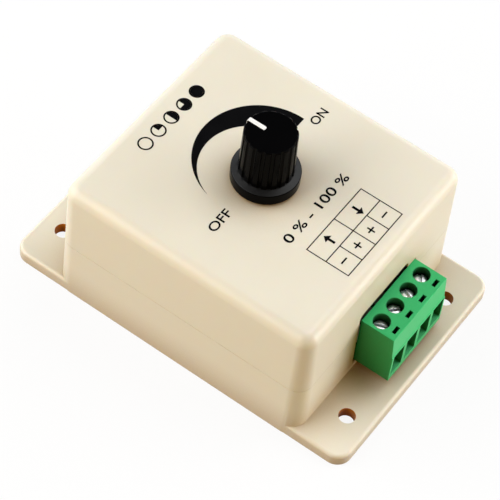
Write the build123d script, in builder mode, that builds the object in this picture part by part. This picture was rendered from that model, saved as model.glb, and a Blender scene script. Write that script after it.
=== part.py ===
"""Rotary dimmer for LED strips: a two-part plastic box on a flange, with a knob and a four-pole terminal block.

The origin is at the middle of the flange's underside. +X runs along the terminal block, -Y is the terminal side.
All sizes are in millimetres.
"""

import os
from math import cos, hypot, radians, tan

from build123d import *

# Case: a tray moulded in one piece with its flange, and a cover
case_w = 59.0
case_l = 64.4
case_h = 34.6
case_corner_r = 4.0
draft = 1.0
wall = 2.0
roof_t = 2.2
floor_t = 2.0
part_z = 16.4
top_edge_r = 2.9
part_bevel = 0.15
room_corner_r = 2.0
lip_h = 1.2
lip_t = 0.9
lip_gap = 0.15

# Flange with its four mounting holes
flange_l = 88.0
flange_t = 3.0
flange_inset = 0.1
flange_corner_r = 3.5
flange_edge_r = 0.9
hole_d = 3.8
hole_dx = 38.4
hole_end = 5.8

# Case screws, driven from below into the cover's pillars
boss_r = 3.4
boss_in = 3.0
case_screw_d = 2.5
case_screw_bite = 9.0
case_head_d = 5.4
case_head_h = 2.0
case_head_sunk = 1.2
case_hole_gap = 0.35
head_gap = 0.3
cross_w = 0.8
cross_l = 3.0
cross_depth = 1.1

# Circuit board on four standoffs of the tray
board_t = 1.6
board_gap = 0.8
board_back_gap = 3.4
stand_h = 1.4
stand_r = 2.6
stand_in = 3.0
board_screw_d = 2.1
board_screw_l = 4.2
board_head_d = 4.0
board_head_h = 1.4

# Fits
screw_fit = 0.05
run_gap = 0.05
move_gap = 0.3
lead_gap = 0.15
lead_tail = 0.9
cut_over = 1.0

# Knob on its splined shaft
knob_y = 0.3
knob_lift = 0.6
knob_h = 14.9
skirt_wall = 1.28
skirt_roof_t = 0.7
skirt_slope = 0.5
nut_room = 0.45
grip_foot_r = 6.05
grip_top_r = 5.65
grip_edge = 0.35
flutes = 18
flute_r = 0.55
flute_depth = 0.4
knob_cap_t = 1.9
pointer_w = 1.0
pointer_from = 1.4
pointer_t = 0.5
pointer_drop = 1.3

# Potentiometer under the cover's roof
shaft_r = 3.0
shaft_tail_r = 2.4
spline_l = 8.0
spline_count = 18
spline_depth = 0.2
split_w = 0.9
split_l = 7.0
shaft_room = 0.4
bush_r = 3.5
bush_over = 0.3
washer_t = 0.5
washer_r = 5.6
nut_t = 1.8
nut_flats = 10.0
pot_r = 8.25
pot_flange_t = 1.6
pot_can_h = 7.0
pot_can_t = 0.5
track_t = 1.2
track_tab_w = 13.0
track_tab_l = 12.0
lug_w = 1.6
lug_t = 0.4
lug_pitch = 5.0
lug_from = 9.0
lug_to = 15.0
wire_r = 0.65
wire_bow = 3.0
wire_straight = 0.2
wire_bend_r = 2.5
rotor_r = 6.8
rotor_t = 1.6
wiper_t = 0.3
wiper_tip_r = 0.5

# Terminal block: rising clamps with captive screws
poles = 4
pitch = 5.08
block_x = 2.43
block_side = 0.08
block_h = 14.9
block_reach = 8.45
block_lean = 0.7
block_heel = 2.4
block_edge = 0.2
kink_up = 8.8
kink_step = 0.25
notch_gap_left = 0.9
notch_gap_right = 0.25
notch_gap_top = 0.95
notch_corner_r = 2.0
sill_gap = 0.3
chamber_w = 4.0
chamber_up = 1.0
clamp_out = 2.92
clamp_screw_d = 2.5
clamp_head_d = 3.2
clamp_head_h = 1.5
clamp_slot_w = 0.8
clamp_slot_depth = 0.8
clamp_turns = (-71, -43, 67, 36)
ledge_t = 0.8
well_depth = 3.5
cage_d = 4.2
cage_h = 6.1
cage_wall = 0.4
cage_foot_t = 0.8
cage_head_t = 1.0
strip_t = 0.8
tongue_w = 1.4
pin_w = 1.0
pin_in = 1.7
mouth_up = 1.8
mouth_rise = 0.9
probe_w = 2.0
probe_l = 0.9
probe_in = 1.95

# Components on the circuit board
cap_d = 10.0
cap_h = 16.0
cap_room = 1.35
cap_back = 11.0
cap_pitch = 5.0
cap_groove = 0.4
lead_r = 0.3
fet_side = 7.0
fet_back = 11.0
fet_w = 10.0
fet_body_h = 9.0
fet_body_t = 3.2
fet_tab_h = 15.6
fet_tab_t = 1.3
fet_stand = 4.0
fet_hole_d = 3.6
fet_pitch = 2.54
fet_lead_w = 0.8
fet_lead_t = 0.5
chip_side = 9.0
chip_y = -8.0
chip_w = 3.9
chip_l = 4.9
chip_h = 1.5
chip_lift = 0.15
chip_leg_w = 0.4
chip_leg_t = 0.2
chip_leg_out = 1.05
chip_pitch = 1.27
diode_side = 8.0
diode_y = -12.0
diode_w = 2.6
diode_l = 4.3
diode_h = 2.2
small_w = 1.25
small_l = 2.0
resistor_h = 0.5
ceramic_h = 1.2
small_pitch = 3.0
resistor_x = -2.0
resistor_y = -12.0
ceramic_x = -3.0
ceramic_y = -17.5

# Sizes that follow from those above
lean = tan(radians(draft))
part_w = case_w - 2 * part_z * lean
part_l = case_l - 2 * part_z * lean
room_w = part_w - 2 * wall
room_l = part_l - 2 * wall
roof_z = case_h - roof_t
boss_x = room_w / 2 - boss_in
boss_y = room_l / 2 - boss_in
seat_z = case_head_sunk + case_head_h
board_z = floor_t + stand_h
board_top = board_z + board_t
board_w = 2 * (boss_x - boss_r - board_gap)
board_front = -room_l / 2 + board_gap
board_back = room_l / 2 - board_back_gap
board_l = board_back - board_front
board_y = (board_front + board_back) / 2
stand_x = board_w / 2 - stand_in
stand_y = board_l / 2 - stand_in
knob_z = case_h + knob_lift
knob_top = knob_z + knob_h
knob_axis = Axis((0, knob_y, 0), (0, 0, 1))
nut_top = case_h + washer_t + nut_t
bush_top = nut_top + bush_over
recess_r = nut_flats / 2 / cos(radians(30)) + nut_room
recess_top = nut_top + move_gap
skirt_r = recess_r + skirt_wall
skirt_top = recess_top + skirt_roof_t
grip_z = skirt_top + skirt_slope
flange_z = roof_z - pot_flange_t
can_z = flange_z - pot_can_h
track_z = flange_z - track_t
rotor_z = can_z + pot_can_t + 2 * move_gap + rotor_t
lug_z = track_z - lug_t
wire_y = knob_y + lug_to - lug_w / 2
block_w = poles * pitch + 2 * block_side
block_top = board_top + block_h
block_front = -case_l / 2 - block_reach
clamp_y = -case_l / 2 - clamp_out
pole_x = [block_x + (k - (poles - 1) / 2) * pitch for k in range(poles)]
pin_y = board_front + pin_in
block_back = pin_y + block_heel
ledge_z = block_top - well_depth
chamber_z = board_top + chamber_up
chamber_top = ledge_z - ledge_t
chamber_front = clamp_y - cage_d / 2 - move_gap
cage_w = chamber_w - 2 * move_gap
cage_z = chamber_z + move_gap
window_z = cage_z + cage_foot_t
window_h = cage_h - cage_foot_t - cage_head_t
strip_z = window_z + window_h - move_gap - strip_t
clamp_tip = strip_z + strip_t + move_gap
clamp_head_z = ledge_z + move_gap
mouth_z = board_top + mouth_up
mouth_top = board_top + kink_up - kink_step
lead_end = board_z - lead_tail
cap_x = lug_pitch + wire_r + cap_room + cap_d / 2
cap_y = board_back - cap_back
fet_x = fet_side - board_w / 2
fet_y = board_back - fet_back
chip_x = chip_side - board_w / 2
diode_x = board_w / 2 - diode_side
pole_turns = [clamp_turns[k % len(clamp_turns)] for k in range(poles)]
wire_points = [(k * lug_pitch, wire_y) for k in (-1, 0, 1)]
cap_points = [(cap_x, cap_y + k * cap_pitch / 2) for k in (-1, 1)]
fet_points = [(fet_x, fet_y + k * fet_pitch) for k in (-1, 0, 1)]


def upright(x, y):
    """The vertical plane through (x, y), with the radius along X and the height along Z."""
    return Plane(origin=(x, y, 0), x_dir=(1, 0, 0), z_dir=(0, -1, 0))


os.makedirs("parts", exist_ok=True)

# The terminal block's opening in the front wall, shared by the tray and the cover
notch_left = block_x - block_w / 2 - notch_gap_left
notch_right = block_x + block_w / 2 + notch_gap_right
notch_low = board_top - sill_gap
notch_high = block_top + notch_gap_top
with BuildSketch(Plane.XZ.offset(room_l / 2 - cut_over)) as notch:
    with Locations(((notch_left + notch_right) / 2, (notch_low + notch_high) / 2)):
        Rectangle(notch_right - notch_left, notch_high - notch_low)
    fillet(notch.vertices().group_by(Axis.Y)[-1], notch_corner_r)
notch_run = case_l / 2 - room_l / 2 + 2 * cut_over

# Base tray with the flange, bosses for the case screws and standoffs for the board
with BuildPart() as base_tray:
    with BuildSketch():
        RectangleRounded(case_w - 2 * flange_inset, flange_l, flange_corner_r)
    extrude(amount=flange_t)
    fillet(base_tray.faces().sort_by(Axis.Z)[-1].edges(), flange_edge_r)
    with BuildSketch():
        RectangleRounded(case_w, case_l, case_corner_r)
    extrude(amount=part_z, taper=draft)
    chamfer(base_tray.faces().sort_by(Axis.Z)[-1].edges(), part_bevel)
    with BuildSketch(Plane.XY.offset(part_z)):
        RectangleRounded(room_w + 2 * lip_t, room_l + 2 * lip_t, room_corner_r + lip_t)
    extrude(amount=lip_h)
    with BuildSketch(Plane.XY.offset(floor_t)):
        RectangleRounded(room_w, room_l, room_corner_r)
    extrude(amount=part_z + lip_h - floor_t, mode=Mode.SUBTRACT)
    with BuildSketch(Plane.XY.offset(floor_t)):
        with GridLocations(2 * boss_x, 2 * boss_y, 2, 2):
            Circle(boss_r)
    extrude(amount=part_z - floor_t)
    with BuildSketch(Plane.XY.offset(floor_t)):
        with Locations((0, board_y)):
            with GridLocations(2 * stand_x, 2 * stand_y, 2, 2):
                Circle(stand_r)
    extrude(amount=stand_h)
    extrude(notch.sketch, amount=notch_run, mode=Mode.SUBTRACT)
    with Locations((0, board_y, board_z)):
        with GridLocations(2 * stand_x, 2 * stand_y, 2, 2):
            Hole(board_screw_d / 2 + screw_fit, depth=board_screw_l - board_t + screw_fit)
    with Locations(Plane(origin=(0, 0, 0), x_dir=(1, 0, 0), z_dir=(0, 0, -1))):
        with GridLocations(2 * boss_x, 2 * boss_y, 2, 2):
            CounterBoreHole(case_screw_d / 2 + case_hole_gap, case_head_d / 2 + head_gap, seat_z, part_z)
    with Locations((0, 0, flange_t)):
        with GridLocations(hole_dx, flange_l - 2 * hole_end, 2, 2):
            Hole(hole_d / 2, depth=flange_t)
base_tray.part.label = "base_tray"
export_step(base_tray.part, "parts/base_tray.step")

# Top cover with its screw pillars, the shaft's hole and the upper part of the terminal opening
with BuildPart() as top_cover:
    with BuildSketch(Plane.XY.offset(part_z)):
        RectangleRounded(part_w, part_l, case_corner_r - part_z * lean)
    extrude(amount=case_h - part_z, taper=draft)
    chamfer(top_cover.faces().sort_by(Axis.Z)[0].edges(), part_bevel)
    fillet(top_cover.faces().sort_by(Axis.Z)[-1].edges(), top_edge_r)
    with BuildSketch(Plane.XY.offset(part_z)):
        RectangleRounded(room_w, room_l, room_corner_r)
    extrude(amount=roof_z - part_z, mode=Mode.SUBTRACT)
    with BuildSketch(Plane.XY.offset(part_z)):
        with GridLocations(2 * boss_x, 2 * boss_y, 2, 2):
            Circle(boss_r)
    extrude(amount=roof_z - part_z)
    with BuildSketch(Plane.XY.offset(part_z)):
        rebate = 2 * (lip_t + lip_gap)
        RectangleRounded(room_w + rebate, room_l + rebate, room_corner_r + rebate / 2)
        RectangleRounded(room_w, room_l, room_corner_r, mode=Mode.SUBTRACT)
    extrude(amount=lip_h + lip_gap, mode=Mode.SUBTRACT)
    extrude(notch.sketch, amount=notch_run, mode=Mode.SUBTRACT)
    with Locations(Plane(origin=(0, 0, part_z), x_dir=(1, 0, 0), z_dir=(0, 0, -1))):
        with GridLocations(2 * boss_x, 2 * boss_y, 2, 2):
            Hole(case_screw_d / 2 + screw_fit, depth=case_screw_bite + screw_fit)
    with Locations((0, knob_y, case_h)):
        Hole(bush_r + lead_gap, depth=roof_t)
top_cover.part.label = "top_cover"
export_step(top_cover.part, "parts/top_cover.step")

# Four case screws with cross recesses in their sunk pan heads
with BuildPart() as case_screws:
    with BuildSketch(Plane.XY.offset(seat_z)):
        with GridLocations(2 * boss_x, 2 * boss_y, 2, 2):
            Circle(case_screw_d / 2)
    extrude(amount=part_z + case_screw_bite - seat_z)
    chamfer(case_screws.edges().group_by(Axis.Z)[-1], case_screw_d / 5)
    with BuildSketch(Plane.XY.offset(case_head_sunk)):
        with GridLocations(2 * boss_x, 2 * boss_y, 2, 2):
            Circle(case_head_d / 2)
    extrude(amount=case_head_h)
    chamfer(case_screws.edges().group_by(Axis.Z)[0], case_head_h / 4)
    with BuildSketch(Plane.XY.offset(case_head_sunk)):
        with GridLocations(2 * boss_x, 2 * boss_y, 2, 2):
            Rectangle(cross_l, cross_w)
            Rectangle(cross_w, cross_l)
    extrude(amount=cross_depth, mode=Mode.SUBTRACT)
case_screws.part.label = "case_screws"
export_step(case_screws.part, "parts/case_screws.step")

# Circuit board with its screw holes and lead holes
with BuildPart() as circuit_board:
    with BuildSketch(Plane.XY.offset(board_z)):
        with Locations((0, board_y)):
            Rectangle(board_w, board_l)
    extrude(amount=board_t)
    with Locations((0, board_y, board_top)):
        with GridLocations(2 * stand_x, 2 * stand_y, 2, 2):
            Hole(board_screw_d / 2 + lead_gap, depth=board_t)
    with Locations(*[(x, pin_y, board_top) for x in pole_x]):
        Hole(hypot(pin_w, strip_t) / 2 + lead_gap, depth=board_t)
    with Locations(*[(x, y, board_top) for x, y in wire_points]):
        Hole(wire_r + lead_gap, depth=board_t)
    with Locations(*[(x, y, board_top) for x, y in cap_points]):
        Hole(lead_r + lead_gap, depth=board_t)
    with Locations(*[(x, y, board_top) for x, y in fet_points]):
        Hole(hypot(fet_lead_w, fet_lead_t) / 2 + lead_gap, depth=board_t)
circuit_board.part.label = "circuit_board"
export_step(circuit_board.part, "parts/circuit_board.step")

# Four board screws
with BuildPart() as board_screws:
    with BuildSketch(Plane.XY.offset(board_top - board_screw_l)):
        with Locations((0, board_y)):
            with GridLocations(2 * stand_x, 2 * stand_y, 2, 2):
                Circle(board_screw_d / 2)
    extrude(amount=board_screw_l)
    with BuildSketch(Plane.XY.offset(board_top)):
        with Locations((0, board_y)):
            with GridLocations(2 * stand_x, 2 * stand_y, 2, 2):
                Circle(board_head_d / 2)
    extrude(amount=board_head_h)
    chamfer(board_screws.edges().group_by(Axis.Z)[-1], board_head_h / 3)
    with BuildSketch(Plane.XY.offset(board_top + board_head_h)):
        with Locations((0, board_y)):
            with GridLocations(2 * stand_x, 2 * stand_y, 2, 2):
                Rectangle(board_head_d / 2, cross_w / 2)
                Rectangle(cross_w / 2, board_head_d / 2)
    extrude(amount=-board_head_h / 2, mode=Mode.SUBTRACT)
board_screws.part.label = "board_screws"
export_step(board_screws.part, "parts/board_screws.step")

# The knob's turned outline: a skirt with a sloping top, then a grip that tapers to its bevelled top
with BuildSketch(upright(0, knob_y)) as knob_outline:
    with BuildLine():
        Polyline(
            (0, knob_z),
            (skirt_r, knob_z),
            (skirt_r, skirt_top),
            (grip_foot_r, grip_z),
            (grip_top_r, knob_top - grip_edge),
            (grip_top_r - grip_edge, knob_top),
            (0, knob_top),
            close=True,
        )
    make_face()

# The white pointer runs over the knob's top and down its edge
with BuildSketch(Plane.YZ.offset(-pointer_w / 2)) as pointer_outline:
    with BuildLine():
        Polyline(
            (knob_y + pointer_from, knob_top + cut_over),
            (knob_y + pointer_from, knob_top - pointer_t),
            (knob_y + grip_top_r - grip_edge - pointer_t, knob_top - pointer_t),
            (knob_y + grip_top_r - grip_edge - pointer_t, knob_top - pointer_drop),
            (knob_y + skirt_r, knob_top - pointer_drop),
            (knob_y + skirt_r, knob_top + cut_over),
            close=True,
        )
    make_face()

# Knob: fluted grip, hollow skirt over the nut, bore for the splined shaft
grip_lean = (grip_foot_r - grip_top_r) / (knob_top - grip_edge - grip_z)
with BuildPart() as knob:
    revolve(knob_outline.sketch, axis=knob_axis)
    for spot in PolarLocations(grip_foot_r + flute_r - flute_depth, flutes):
        foot = Location((0, knob_y, grip_z)) * spot
        inward = Vector(0, knob_y, grip_z) - foot.position
        rise = Vector(0, 0, 1) + inward.normalized() * grip_lean
        with BuildSketch(Plane(origin=foot.position, z_dir=rise)):
            Circle(flute_r)
        extrude(amount=knob_h, mode=Mode.SUBTRACT)
    with Locations(Plane(origin=(0, knob_y, knob_z), x_dir=(1, 0, 0), z_dir=(0, 0, -1))):
        CounterBoreHole(shaft_r + screw_fit, recess_r, recess_top - knob_z, knob_h - knob_cap_t)
        Hole(bush_r + move_gap, depth=bush_top + move_gap - knob_z)
    extrude(pointer_outline.sketch, amount=pointer_w, mode=Mode.SUBTRACT)
knob.part.label = "knob"
export_step(knob.part, "parts/knob.step")

with BuildPart() as knob_pointer:
    revolve(knob_outline.sketch, axis=knob_axis)
    extrude(pointer_outline.sketch, amount=pointer_w, mode=Mode.INTERSECT)
knob_pointer.part.label = "knob_pointer"
export_step(knob_pointer.part, "parts/knob_pointer.step")

# Potentiometer bush with its mounting flange against the roof
with BuildPart() as pot_bush:
    with BuildSketch(upright(0, knob_y)):
        with BuildLine():
            Polyline(
                (shaft_r + run_gap, flange_z),
                (pot_r, flange_z),
                (pot_r, roof_z),
                (bush_r, roof_z),
                (bush_r, bush_top),
                (shaft_r + run_gap, bush_top),
                close=True,
            )
        make_face()
    revolve(axis=knob_axis)
pot_bush.part.label = "pot_bush"
export_step(pot_bush.part, "parts/pot_bush.step")

with BuildPart() as pot_washer:
    with BuildSketch(Plane.XY.offset(case_h)):
        with Locations((0, knob_y)):
            Circle(washer_r)
            Circle(bush_r + lead_gap, mode=Mode.SUBTRACT)
    extrude(amount=washer_t)
pot_washer.part.label = "pot_washer"
export_step(pot_washer.part, "parts/pot_washer.step")

with BuildPart() as pot_nut:
    with BuildSketch(Plane.XY.offset(case_h + washer_t)):
        with Locations((0, knob_y)):
            RegularPolygon(nut_flats / 2, 6, major_radius=False)
            Circle(bush_r + screw_fit, mode=Mode.SUBTRACT)
    extrude(amount=nut_t)
pot_nut.part.label = "pot_nut"
export_step(pot_nut.part, "parts/pot_nut.step")

# Potentiometer can: a drawn cup, cut away at the rim for the track's tab
with BuildPart() as pot_case:
    with BuildSketch(Plane.XY.offset(can_z)):
        with Locations((0, knob_y)):
            Circle(pot_r)
    extrude(amount=pot_can_h)
    chamfer(pot_case.edges().group_by(Axis.Z)[0], pot_can_t)
    with BuildSketch(Plane.XY.offset(can_z + pot_can_t)):
        with Locations((0, knob_y)):
            Circle(pot_r - pot_can_t)
    extrude(amount=pot_can_h, mode=Mode.SUBTRACT)
    with BuildSketch(Plane.XY.offset(track_z - lead_gap)):
        with Locations((0, knob_y)):
            Rectangle(track_tab_w + 2 * lead_gap, 2 * pot_r, align=(Align.CENTER, Align.MIN))
    extrude(amount=track_t + 2 * lead_gap, mode=Mode.SUBTRACT)
pot_case.part.label = "pot_case"
export_step(pot_case.part, "parts/pot_case.step")

# Resistive track on its wafer, with the tab that carries the lugs
with BuildPart() as pot_track:
    with BuildSketch(Plane.XY.offset(track_z)):
        with Locations((0, knob_y)):
            Circle(pot_r - pot_can_t - screw_fit)
            Rectangle(track_tab_w, track_tab_l, align=(Align.CENTER, Align.MIN))
            Circle(shaft_r + move_gap, mode=Mode.SUBTRACT)
    extrude(amount=track_t)
pot_track.part.label = "pot_track"
export_step(pot_track.part, "parts/pot_track.step")

with BuildPart() as pot_lugs:
    with BuildSketch(Plane.XY.offset(lug_z)):
        with Locations(*[(x, knob_y + (lug_from + lug_to) / 2) for x, y in wire_points]):
            SlotOverall(lug_to - lug_from, lug_w, rotation=90)
    extrude(amount=lug_t)
pot_lugs.part.label = "pot_lugs"
export_step(pot_lugs.part, "parts/pot_lugs.step")

# Three wires from the lugs down through the board
with BuildPart() as pot_wires:
    for x, y in wire_points:
        wire_h = lug_z - board_top
        with BuildLine(Plane.YZ.offset(x)) as route:
            FilletPolyline(
                (y, lug_z),
                (y, lug_z - wire_h * wire_straight),
                (y + wire_bow, lug_z - wire_h / 2),
                (y, board_top + wire_h * wire_straight),
                (y, lead_end),
                radius=wire_bend_r,
            )
        with BuildSketch(Plane(origin=(x, y, lug_z), z_dir=(0, 0, -1))):
            Circle(wire_r)
        sweep(path=route.line)
pot_wires.part.label = "pot_wires"
export_step(pot_wires.part, "parts/pot_wires.step")

# Potentiometer shaft: a thin tail for the rotor, a plain journal, and a split spline for the knob
shaft_low = can_z + pot_can_t + move_gap
shaft_top = knob_top - knob_cap_t - shaft_room
with BuildPart() as pot_shaft:
    with BuildSketch(upright(0, knob_y)):
        with BuildLine():
            Polyline(
                (0, shaft_low),
                (shaft_tail_r, shaft_low),
                (shaft_tail_r, rotor_z),
                (shaft_r, rotor_z),
                (shaft_r, shaft_top - spline_depth),
                (shaft_r - spline_depth, shaft_top),
                (0, shaft_top),
                close=True,
            )
        make_face()
    revolve(axis=knob_axis)
    with BuildSketch(Plane.XY.offset(shaft_top - spline_l)):
        with Locations((0, knob_y)):
            with PolarLocations(shaft_r, spline_count):
                RegularPolygon(spline_depth, 4)
    extrude(amount=spline_l, mode=Mode.SUBTRACT)
    with BuildSketch(Plane.XY.offset(shaft_top)):
        with Locations((0, knob_y)):
            Rectangle(split_w, 2 * shaft_r)
    extrude(amount=-split_l, mode=Mode.SUBTRACT)
pot_shaft.part.label = "pot_shaft"
export_step(pot_shaft.part, "parts/pot_shaft.step")

with BuildPart() as pot_rotor:
    with BuildSketch(Plane.XY.offset(rotor_z - rotor_t)):
        with Locations((0, knob_y)):
            Circle(rotor_r)
            Circle(shaft_tail_r + screw_fit, mode=Mode.SUBTRACT)
    extrude(amount=rotor_t)
pot_rotor.part.label = "pot_rotor"
export_step(pot_rotor.part, "parts/pot_rotor.step")

# Wiper leaf on the rotor, with its contact finger reaching up to the track
with BuildPart() as pot_wiper:
    with BuildSketch(Plane.XY.offset(rotor_z)):
        with Locations((0, knob_y)):
            Circle(rotor_r - move_gap)
            Circle(shaft_r + move_gap, mode=Mode.SUBTRACT)
            Rectangle(2 * rotor_r, rotor_r, align=(Align.CENTER, Align.MAX), mode=Mode.SUBTRACT)
    extrude(amount=wiper_t)
    with BuildSketch(Plane.XY.offset(rotor_z + wiper_t)):
        with Locations((0, knob_y + (rotor_r + shaft_r) / 2)):
            Circle(wiper_tip_r)
    extrude(amount=track_z - move_gap - rotor_z - wiper_t)
    chamfer(pot_wiper.edges().group_by(Axis.Z)[-1], wiper_tip_r / 2)
pot_wiper.part.label = "pot_wiper"
export_step(pot_wiper.part, "parts/pot_wiper.step")

# Terminal housing: an open-backed chamber for each clamp, with a screw well, a wire mouth and a probe slot
with BuildPart() as terminal_housing:
    with BuildSketch(Plane.YZ.offset(block_x - block_w / 2)):
        with BuildLine():
            Polyline(
                (block_back, board_top),
                (block_front, board_top),
                (block_front, board_top + kink_up),
                (block_front + kink_step, board_top + kink_up),
                (block_front + block_lean, block_top),
                (block_back, block_top),
                close=True,
            )
        make_face()
    extrude(amount=block_w)
    chamfer(terminal_housing.faces().sort_by(Axis.Z)[-1].edges(), block_edge)
    with BuildSketch(Plane.XY.offset(chamber_z)):
        with Locations(*[(x, chamber_front) for x in pole_x]):
            Rectangle(chamber_w, block_back - chamber_front, align=(Align.CENTER, Align.MIN))
    extrude(amount=chamber_top - chamber_z, mode=Mode.SUBTRACT)
    with BuildSketch(Plane.XY.offset(board_top)):
        with Locations(*[(x, pin_y - strip_t / 2 - lead_gap) for x in pole_x]):
            Rectangle(pin_w + 2 * lead_gap, 2 * block_heel, align=(Align.CENTER, Align.MIN))
    extrude(amount=chamber_up, mode=Mode.SUBTRACT)
    for x in pole_x:
        with BuildSketch(Plane.YZ.offset(x - chamber_w / 2)):
            with BuildLine():
                Polyline(
                    (chamber_front, mouth_z + mouth_rise),
                    (block_front, mouth_z),
                    (block_front, mouth_top),
                    (chamber_front, mouth_top),
                    close=True,
                )
            make_face()
        extrude(amount=chamber_w, mode=Mode.SUBTRACT)
    with Locations(*[(x, clamp_y, block_top) for x in pole_x]):
        CounterBoreHole(
            clamp_screw_d / 2 + move_gap, clamp_head_d / 2 + move_gap, well_depth, well_depth + ledge_t
        )
    with BuildSketch(Plane.XY.offset(block_top)):
        with Locations(*[(x, block_front + probe_in) for x in pole_x]):
            Rectangle(probe_w, probe_l)
    extrude(amount=mouth_top - block_top, mode=Mode.SUBTRACT)
terminal_housing.part.label = "terminal_housing"
export_step(terminal_housing.part, "parts/terminal_housing.step")

# Clamp screws, each left at its own slot angle, and the rising cages that they lift
for number, (x, turn) in enumerate(zip(pole_x, pole_turns), 1):
    with BuildPart() as terminal_screw:
        with BuildSketch(upright(x, clamp_y)):
            with BuildLine():
                Polyline(
                    (0, clamp_tip),
                    (clamp_screw_d / 2 - move_gap, clamp_tip),
                    (clamp_screw_d / 2, clamp_tip + move_gap),
                    (clamp_screw_d / 2, clamp_head_z),
                    (clamp_head_d / 2, clamp_head_z),
                    (clamp_head_d / 2, clamp_head_z + clamp_head_h - block_edge),
                    (clamp_head_d / 2 - block_edge, clamp_head_z + clamp_head_h),
                    (0, clamp_head_z + clamp_head_h),
                    close=True,
                )
            make_face()
        revolve(axis=Axis((x, clamp_y, 0), (0, 0, 1)))
        with BuildSketch(Plane.XY.offset(clamp_head_z + clamp_head_h)):
            with Locations((x, clamp_y)):
                Rectangle(2 * clamp_head_d, clamp_slot_w, rotation=turn)
        extrude(amount=-clamp_slot_depth, mode=Mode.SUBTRACT)
    terminal_screw.part.label = f"terminal_screw_{number}"
    export_step(terminal_screw.part, f"parts/terminal_screw_{number}.step")

    with BuildPart() as clamp_cage:
        with BuildSketch(Plane.XZ.offset(-clamp_y)):
            with Locations((x, cage_z)):
                Rectangle(cage_w, cage_h, align=(Align.CENTER, Align.MIN))
            with Locations((x, window_z)):
                Rectangle(cage_w - 2 * cage_wall, window_h, align=(Align.CENTER, Align.MIN), mode=Mode.SUBTRACT)
        extrude(amount=cage_d / 2, both=True)
        with Locations((x, clamp_y, cage_z + cage_h)):
            Hole(clamp_screw_d / 2 + run_gap, depth=cage_head_t)
    clamp_cage.part.label = f"clamp_cage_{number}"
    export_step(clamp_cage.part, f"parts/clamp_cage_{number}.step")

# Contact strips: a tongue through each cage, a heel that fills the chamber, and a solder pin
with BuildPart() as terminal_contacts:
    tongue_front = clamp_y - cage_d / 2
    heel_front = clamp_y + cage_d / 2 + move_gap
    for x in pole_x:
        with BuildSketch(Plane.XY.offset(strip_z)):
            with Locations((x, tongue_front)):
                Rectangle(tongue_w, pin_y - tongue_front, align=(Align.CENTER, Align.MIN))
            with Locations((x, heel_front)):
                Rectangle(chamber_w, pin_y - heel_front, align=(Align.CENTER, Align.MIN))
        extrude(amount=strip_t)
        with BuildSketch(Plane.XY.offset(lead_end)):
            with Locations((x, pin_y)):
                Rectangle(pin_w, strip_t)
        extrude(amount=strip_z + strip_t - lead_end)
terminal_contacts.part.label = "terminal_contacts"
export_step(terminal_contacts.part, "parts/terminal_contacts.step")

# Electrolytic capacitor, standing on the board
with BuildPart() as capacitor:
    with BuildSketch(upright(cap_x, cap_y)):
        with BuildLine():
            Polyline(
                (0, board_top),
                (cap_d / 2, board_top),
                (cap_d / 2, board_top + 4 * cap_groove),
                (cap_d / 2 - cap_groove, board_top + 5 * cap_groove),
                (cap_d / 2, board_top + 6 * cap_groove),
                (cap_d / 2, board_top + cap_h - cap_groove),
                (cap_d / 2 - cap_groove, board_top + cap_h),
                (0, board_top + cap_h),
                close=True,
            )
        make_face()
    revolve(axis=Axis((cap_x, cap_y, 0), (0, 0, 1)))
    with BuildSketch(Plane.XY.offset(lead_end)):
        with Locations(*cap_points):
            Circle(lead_r)
    extrude(amount=board_top - lead_end)
capacitor.part.label = "capacitor"
export_step(capacitor.part, "parts/capacitor.step")

# Power transistor: moulded body on a metal tab with three leads
fet_z = board_top + fet_stand
with BuildPart() as mosfet_body:
    with BuildSketch(Plane.XY.offset(fet_z)):
        with Locations((fet_x, fet_y)):
            Rectangle(fet_body_t, fet_w)
    extrude(amount=fet_body_h)
    chamfer(mosfet_body.edges().filter_by(Axis.Y).group_by(Axis.X)[-1], fet_body_t / 8)
mosfet_body.part.label = "mosfet_body"
export_step(mosfet_body.part, "parts/mosfet_body.step")

with BuildPart() as mosfet_frame:
    with BuildSketch(Plane.YZ.offset(fet_x - fet_body_t / 2)):
        with Locations((fet_y, fet_z)):
            Rectangle(fet_w, fet_tab_h, align=(Align.CENTER, Align.MIN))
        with Locations((fet_y, fet_z + (fet_body_h + fet_tab_h) / 2)):
            Circle(fet_hole_d / 2, mode=Mode.SUBTRACT)
    extrude(amount=-fet_tab_t)
    with BuildSketch(Plane.XY.offset(lead_end)):
        with Locations(*fet_points):
            Rectangle(fet_lead_t, fet_lead_w)
    extrude(amount=fet_z - lead_end)
mosfet_frame.part.label = "mosfet_frame"
export_step(mosfet_frame.part, "parts/mosfet_frame.step")

# Timer chip and its eight gull-wing legs
with BuildPart() as timer_chip:
    with BuildSketch(Plane.XY.offset(board_top + chip_lift)):
        with Locations((chip_x, chip_y)):
            Rectangle(chip_w, chip_l)
    extrude(amount=chip_h)
    chamfer(timer_chip.faces().sort_by(Axis.Z)[-1].edges(), chip_lift)
timer_chip.part.label = "timer_chip"
export_step(timer_chip.part, "parts/timer_chip.step")

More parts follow.
